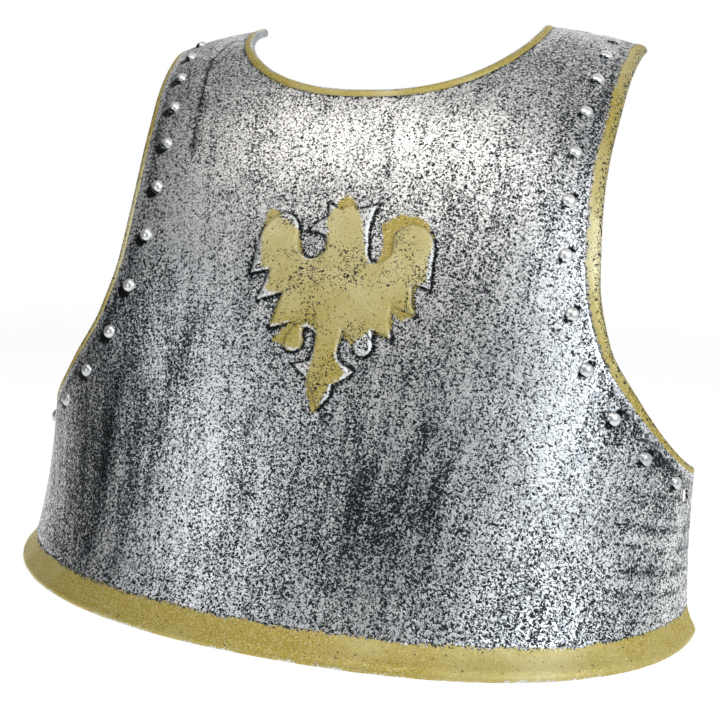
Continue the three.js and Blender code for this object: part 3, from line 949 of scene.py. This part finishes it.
# Widths of the gold paint at the edges
ARM_PAINT, RIGHT_ARM_PAINT, LOW_ARM_PAINT, NECK_PAINT, BAND_PAINT = 3.6, 1.8, 1.2, 2.6, 13.4
full_paint = np.where(plate_x > 0, ARM_PAINT, RIGHT_ARM_PAINT)
arm_paint = mix(LOW_ARM_PAINT, full_paint, smooth_step(plate_outer[..., 2], *ROLL_NARROWS))
stencil_inside = depth_inside(plate_x, plate_rise, STENCIL_OUTLINE)
edge_paint = np.maximum.reduce([
    arm_paint - plate_marks["arm_distance"],
    NECK_PAINT - plate_marks["neck_distance"],
    BAND_PAINT - plate_rise,
])
plate_marks["gold"] = np.maximum(stencil_inside, edge_paint)
plate_marks["eagle_distance"] = -depth_inside(plate_x, plate_rise, EAGLE_OUTLINE)
# Inside, the sheet is plain: no gold, and far from everything the wash was left by
FAR = 99.0
PLAIN_INSIDE = {mark: FAR for mark in plate_marks if mark.endswith("_distance")}
PLAIN_INSIDE |= {"gold": -9.0, "wash": -0.05}
add_slab(
    "plate",
    plate_outer,
    plate_inner,
    plate_keep,
    plate_material(),
    "breastplate_shell",
    plate_marks,
    PLAIN_INSIDE,
)

# ----------------------------------------
# The rolled edges: the sheet's edge turned round into a bead, at the neck and at each arm
# opening. Gold paint covers the outside of the turn, and the rest of it is bare grey steel.

# Corners of the sections. out: beyond the sheet's edge. lift: above its face. paint: how far
# inside the gold a corner is. thin: how worn the gold is there; on the arm's roll it grows toward
# the outer side, which it darkens as painted shade where the roll turns from the light. wash: of
# black, under the gold.
ARM_ROLL = table(
    "out lift paint thin wash",
    (-5.1, -0.15, -1, 0.32, 0.4),
    (-4.3, 0.4, -0.2, 0.32, 0.4),
    (-2.4, 0.8, 2, 0.34, 0.4),
    (-0.4, 0.9, 4, 0.42, 0.4),
    (1.2, 0.6, 3, 0.46, 0.35),
    (2.6, -0.2, 2.6, 0.49, 0.35),
    (3.5, -1.4, 1.6, 0.49, 0.35),
    (3.2, -3, -2, 0.5, -0.5),
    (1.6, -4, -3, 0.5, -0.5),
    (-1, -3.8, -3, 0.5, -0.5),
    (-2.5, -2.9, -3, 0.5, -0.5),
    (-3.4, -1.4, -3, 0.4, -0.5),
)
NECK_ROLL = table(
    "out lift paint thin wash",
    (-3.1, -0.15, 2, 0.34, 0.3),
    (-2.3, 0.5, 3, 0.3, 0.3),
    (-0.8, 0.9, 1.8, 0.34, 0.3),
    (0.9, 0.8, 0.3, 0.4, -0.2),
    (2.1, 0.1, -1.2, 0.4, -0.5),
    (2.6, -1, -2.4, 0.4, -0.5),
    (2.5, -2.6, -3, 0.4, -0.5),
    (1.8, -3.9, -3, 0.4, -0.5),
    (0.2, -4.4, -3, 0.4, -0.5),
    (-1.6, -3.6, -3, 0.4, -0.5),
    (-2.6, -1.7, -3, 0.4, -0.5),
)
ROLL_END = 1.6  # length over which a roll's end rounds off
ROLL_TIP = 0.02  # from its end to its first ring, which is closed
ROLL_LOW = 0.55  # size of a roll at the foot of the arm opening, as a share
RIGHT_ROLL = 0.58  # size of the right arm's roll above that, which is hammered flatter
# How pale the gold is at heights up the edges
PALE = table("height pale", (115, -0.2), (155, 0.05), (180, 0.55), (225, 0.55), (265, 0))


def rounded(rows, pieces=4):
    """A smooth closed curve through a table's rows, as a Catmull-Rom spline of every column."""
    corners = np.stack(list(rows.values()), axis=-1)
    share = (np.arange(pieces) / pieces)[None, :, None]
    before, here, after, beyond = (
        np.roll(corners, shift, axis=0)[:, None] for shift in (1, 0, -1, -2)
    )
    curve = 0.5 * (
        2 * here
        + (after - before) * share
        + (2 * before - 5 * here + 4 * after - beyond) * share**2
        + (3 * here - before - 3 * after + beyond) * share**3
    )
    return curve.reshape(-1, corners.shape[-1]).T


def add_tube(name, rings, material, stands_for, marks, way=1):
    """Adds a piece whose skin runs through rings of points and is closed at its two ends. way:
    1, or -1 if the rings run the other way round."""
    index = np.arange(rings[..., 0].size).reshape(rings.shape[:2])
    beside = np.roll(index, -1, axis=1)
    sides = np.stack([index[:-1], beside[:-1], beside[1:], index[1:]], axis=-1).reshape(-1, 4)
    caps = [index[0, ::-way], index[-1, ::way]]
    marks = {mark: np.broadcast_to(value, index.shape).ravel() for mark, value in marks.items()}
    points = rings.reshape(-1, 3)
    add_piece(name, points, sides[:, ::way], material, stands_for, marks, caps)


def even_places(angle, rise, step=1.5):
    """Points and normals at even steps along a line on the sheet, closer at its two ends."""
    points = face_point(angle, rise)
    length = np.concatenate([[0], np.cumsum(np.linalg.norm(np.diff(points, axis=0), axis=-1))])
    round_off = ROLL_END * (1 - np.cos(np.linspace(0, np.pi / 2, 6)[1:]))
    middle = np.arange(ROLL_END + step, length[-1] - ROLL_END - step / 2, step)
    start = np.concatenate([[ROLL_TIP], round_off])
    along = np.concatenate([start, middle, (length[-1] - start)[::-1]])
    even_angle, even_rise = np.interp(along, length, angle), np.interp(along, length, rise)
    to_end = np.minimum(along, length[-1] - along)
    size = np.sqrt(1 - (1 - np.clip(to_end / ROLL_END, 0, 1)) ** 2)
    return face_point(even_angle, even_rise), face_normal(even_angle, even_rise), size


def add_roll(name, angle, rise, rows, material, stands_for, full_size=1.0):
    """Carries a section along an edge of the sheet that has the sheet on its left. Its lift
    stays square to the edge, and it shrinks to nothing at the ends. It also narrows low down."""
    edge, normal, size = even_places(angle, rise)
    size = size * mix(ROLL_LOW, full_size, smooth_step(edge[:, 2], *ROLL_NARROWS))
    along = unit(np.gradient(edge, axis=0))
    lift = unit(normal - (normal * along).sum(axis=-1, keepdims=True) * along)
    out = np.cross(along, lift)
    section_out, section_lift, paint, thin, wash = rounded(rows)
    middle_lift = -SHEET / 2
    wide = size[:, None] * section_out
    high = middle_lift + size[:, None] * (section_lift - middle_lift)
    rings = edge[:, None] + wide[..., None] * out[:, None] + high[..., None] * lift[:, None]
    pale = np.interp(edge[:, 2:], PALE["height"], PALE["pale"])
    marks = {"gold": paint, "thin": thin, "wash": wash, "pale": pale}
    add_tube(name, rings, material, stands_for, marks)


def roll_material():
    """Gold paint on the turn of the edge, with bare grey steel inside it."""
    material, tree, shader = new_material("edge_gold")
    inside = attribute(tree, "gold")
    film = remap(tree, inside, -1.6, 0.0, 0.9, 0.3)
    worn = remap(tree, noise(tree, object_place(tree), 13.0), 0.4, 0.6, -0.2, 0.25)
    steel = use_group(tree, WASHED_STEEL, {"Wash": attribute(tree, "wash"), "Film": film})
    painted = gilded(tree, steel, {
        "Inside": inside,
        "Thin": attribute(tree, "thin"),
        "Pale": calc(tree, "ADD", worn, attribute(tree, "pale")),
    })
    finish_shader(tree, shader, painted, steel["Height"], depth_of_pits=0.35)
    return material


EDGE_GOLD = roll_material()
add_roll("neck_edge", *neck_line(), NECK_ROLL, EDGE_GOLD, "neck_roll")
add_roll("left_arm_edge", *side_line(1), ARM_ROLL, EDGE_GOLD, "arm_roll_left")
right_angle, right_rise = side_line(-1)
add_roll(
    "right_arm_edge",
    right_angle[::-1],
    right_rise[::-1],
    ARM_ROLL,
    EDGE_GOLD,
    "arm_roll_right",
    RIGHT_ROLL,
)

# ----------------------------------------
# The waist band: the foot of the sheet flared out into a thick rim, which the plate stands on.
# Its face is painted gold up to a ragged line, and its underside is bare.

# Corners of its section, down its face, along the ground and up its back. spread: outward from
# the sheet's line at the ground.
BAND_FACE = table(
    "rise lift",
    (14.4, 0.02),
    (12.4, 0.35),
    (10.2, 0.85),
    (8, 1.55),
    (6, 2.35),
    (4.4, 3.1),
    (3.2, 3.65),
)
BAND_FOOT = table(
    "spread height",
    (3.9, 2.5),
    (4.25, 1.7),
    (4.3, 0.9),
    (4.05, 0.25),
    (3.5, 0),
    (-2.1, 0),
    (-2.6, 0.4),
)
BAND_BACK = table(
    "rise lift",
    (4, -3.05),
    (6.5, -2.95),
    (9, -2.6),
    (10.6, -1.9),
    (11.2, -1),
    (14, -0.5),
)
BAND_COLUMNS = 261

band_angle = np.linspace(-1, 1, BAND_COLUMNS) * SIDE_ANGLE
ground = face_point(band_angle, 0)
outward = face_normal(band_angle, 0)
outward[:, 2] = 0
outward = unit(outward)


def on_sheet(rows):
    """Corners of the band's section that are given by their rise up the sheet and lift."""
    return lifted(band_angle[:, None], rows["rise"], rows["lift"])


on_ground = ground[:, None] + BAND_FOOT["spread"][:, None] * outward[:, None]
on_ground[..., 2] = BAND_FOOT["height"]
band_rings = np.concatenate([on_sheet(BAND_FACE), on_ground, on_sheet(BAND_BACK)], axis=1)
BAND_WASH, FOOT_WASH = 0.5, -0.5  # above its gold, and on its foot and back
BAND_THIN = 0.32  # how worn its gold is
FOOT_PAINT = 0.3  # height of the gold's lower edge
NO_PAINT = -3.0  # how far the back is from it
band_paint = np.concatenate([
    BAND_PAINT - BAND_FACE["rise"],
    BAND_FOOT["height"] - FOOT_PAINT,
    np.full(len(BAND_BACK["rise"]), NO_PAINT),
])
band_wash = np.full(len(band_paint), FOOT_WASH)
band_wash[: len(BAND_FACE["rise"])] = BAND_WASH
add_tube(
    "waist_band",
    band_rings,
    EDGE_GOLD,
    "waist_flange",
    {"gold": band_paint, "thin": BAND_THIN, "wash": band_wash},
    way=-1,
)

# ----------------------------------------
# The rivets: twelve along each arm opening, with domed steel heads outside and peened tails
# inside. The wash is rubbed off their tops, and the black in the corner at their foot, heavier on
# one side, is partly wash and partly painted shade.

# Profile from the top of the head to the end of the tail
RIVET = table(
    "radius height",
    (0, 2.3),
    (1, 2.22),
    (2, 1.95),
    (2.9, 1.45),
    (3.55, 0.8),
    (3.9, 0.15),
    (4, -0.3),
    (1.5, -0.6),
    (1.5, -1.4),
    (2.6, -1.55),
    (2.6, -2),
    (2.1, -2.45),
    (0, -2.55),
)
RIVET_SIDES = 32
POLE_RADIUS = 0.02  # of the small face that closes each end
WASH_SHADE_DAB_TURN = np.arctan2(WASH_SHADE_DAB_OFFSET[1], WASH_SHADE_DAB_OFFSET[0])
RIVET_DULL = 0.4  # how much darker the lowest heads are
RIVETS_DULL = (100, 230)  # rise over which they grow bright
# The black at a head's foot, partly wash and partly painted shade, starts where its radius, times
# one of these, comes to BLACK_FROM: away from the dark dabs beside it, and how much more toward a
# thin dab and a wide one
CLEAN, THIN_BLACK, WIDE_BLACK = 0.5, 0.6, 2
BLACK_FROM = (3.0, 3.7)
RIVETS_BLACK = (180, 320)  # rise over which it widens on the wearer's right


def rivet_material():
    """Silver steel, rubbed bright on top, less so on the lower heads, and black at its foot,
    partly wash and partly painted shade.
    """
    material, tree, shader = new_material("rivet_steel")
    dull = attribute(tree, "dull")
    foot = remap(tree, attribute(tree, "foot"), *BLACK_FROM, -0.7, 0.8)
    wash = calc(tree, "MULTIPLY_ADD", dull, 0.8, foot)
    steel = use_group(tree, WASHED_STEEL, {"Wash": wash, "Film": dull})
    finish_shader(tree, shader, steel, steel["Height"], depth_of_pits=0.1)
    return material


def add_rivet(name, angle, rise, material, stands_for):
    """Turns the profile round the sheet's normal at a place. The black at its foot, partly painted
    shade, reaches up the head by the cosine of the turn from the dark dabs beside it."""
    normal = face_normal(angle, rise)
    across_head = unit(np.cross((0, 0, 1), normal))
    up_head = np.cross(normal, across_head)
    turn = np.arange(RIVET_SIDES) / RIVET_SIDES * 2 * np.pi
    spoke = np.cos(turn)[:, None] * across_head + np.sin(turn)[:, None] * up_head
    radius = np.maximum(RIVET["radius"], POLE_RADIUS)[:, None, None]
    rings = face_point(angle, rise) + radius * spoke + RIVET["height"][:, None, None] * normal
    to_wash_shade_dab = np.cos(turn - WASH_SHADE_DAB_TURN)
    if angle > 0:
        black = THIN_BLACK * np.abs(to_wash_shade_dab)
    else:
        wide = mix(THIN_BLACK, WIDE_BLACK, smooth_step(rise, *RIVETS_BLACK))
        black = wide * np.clip(-to_wash_shade_dab, 0, 1)
    dull = RIVET_DULL * (1 - smooth_step(rise, *RIVETS_DULL))
    marks = {"foot": radius[..., 0] * (CLEAN + black), "dull": dull}
    add_tube(name, rings, material, stands_for, marks, way=-1)


RIVET_STEEL = rivet_material()
for side, way in (("left", 1), ("right", -1)):
    for number, (rise, x) in enumerate(zip(RIVETS["rise"], RIVETS["x"])):
        place = f"{side}_{number + 1:02d}"
        angle = angle_at(way * x, rise)
        add_rivet(f"{place}_rivet", angle, rise, RIVET_STEEL, f"rivet_{place}")

# ----------------------------------------
# The studio: a pale floor that fades into the room, a soft box above and one at each side. The
# room is dark in front of the plate and pale behind it.

WHITE = (1, 1, 1, 1)
FLOOR_RADIUS = 1.6
FLOOR_COLOR = (0.9, 0.9, 0.9, 1)
FLOOR_GLOW = 0.4
FLOOR_FADE = (0.45, 1.3)  # distances from the middle over which the floor fades into the room
LIT_POINT = Vector((0, 0.01, 0.16))  # what the soft boxes face
ROOM_BACK = (0.3, 0.95, 0.1)  # direction of the pale end of the room
ROOM_FADE = (-0.35, 0.85)  # from its dark end to its pale end, as cosines from that direction
ROOM_LIGHT = (0.08, 0.95)  # at the two ends
ROOM_SEEN = 1.0  # behind everything
# The soft boxes: direction and distance from the plate, size in metres, power and colour
SOFT_BOXES = table(
    "x y z distance wide tall power red green blue",
    (-0.13, -0.46, 0.88, 1.3, 1.0, 0.5, 6.1, 1.0, 0.955, 0.89),
    (0.76, -0.64, 0.52, 1.4, 0.9, 0.85, 9.9, 0.88, 0.95, 1.0),
    (-0.5, -0.78, 0.2, 1.4, 0.17, 0.36, 2.4, 0.88, 0.95, 1.0),
)

bpy.ops.mesh.primitive_circle_add(radius=FLOOR_RADIUS, vertices=64, fill_type="NGON")
floor = bpy.context.object
floor.name = "floor"
floor_material, floor_tree, floor_shader = new_material("pale_floor")
fill(floor_tree, floor_shader, {
    "Base Color": FLOOR_COLOR,
    "Roughness": 0.9,
    "Emission Color": WHITE,
    "Emission Strength": FLOOR_GLOW,
})
middle_distance = add_node(
    floor_tree, "VectorMath", {0: object_place(floor_tree)}, operation="LENGTH"
).outputs["Value"]
clear = add_node(floor_tree, "BsdfTransparent").outputs[0]
faded = add_node(
    floor_tree,
    "MixShader",
    {0: remap(floor_tree, middle_distance, *FLOOR_FADE), 1: floor_shader.outputs[0], 2: clear},
)
fill(floor_tree, floor_tree.nodes["Material Output"], {"Surface": faded.outputs[0]})
floor.data.materials.append(floor_material)

for number, (x, y, z, distance, wide, tall, power, *color) in enumerate(
    zip(*SOFT_BOXES.values())
):
    light = bpy.data.lights.new(f"soft_box_{number + 1}", "AREA")
    light.shape = "RECTANGLE"
    light.size, light.size_y = wide, tall
    light.energy = power
    light.color = color
    box = bpy.data.objects.new(light.name, light)
    direction = Vector((x, y, z)).normalized()
    box.location = LIT_POINT + direction * distance
    box.rotation_euler = direction.to_track_quat("Z", "Y").to_euler()
    scene.collection.objects.link(box)

world = bpy.data.worlds.new("room")
world.use_nodes = True
scene.world = world
room_tree = world.node_tree
direction = add_node(room_tree, "TexCoord").outputs["Generated"]
toward_back = add_node(
    room_tree, "VectorMath", {0: direction, 1: ROOM_BACK}, operation="DOT_PRODUCT"
).outputs["Value"]
lit = remap(room_tree, toward_back, *ROOM_FADE, *ROOM_LIGHT)
camera_ray = add_node(room_tree, "LightPath").outputs["Is Camera Ray"]
strength = add_node(room_tree, "Mix", {0: camera_ray, 2: lit, 3: ROOM_SEEN}).outputs[0]
fill(room_tree, room_tree.nodes["Background"], {"Color": WHITE, "Strength": strength})
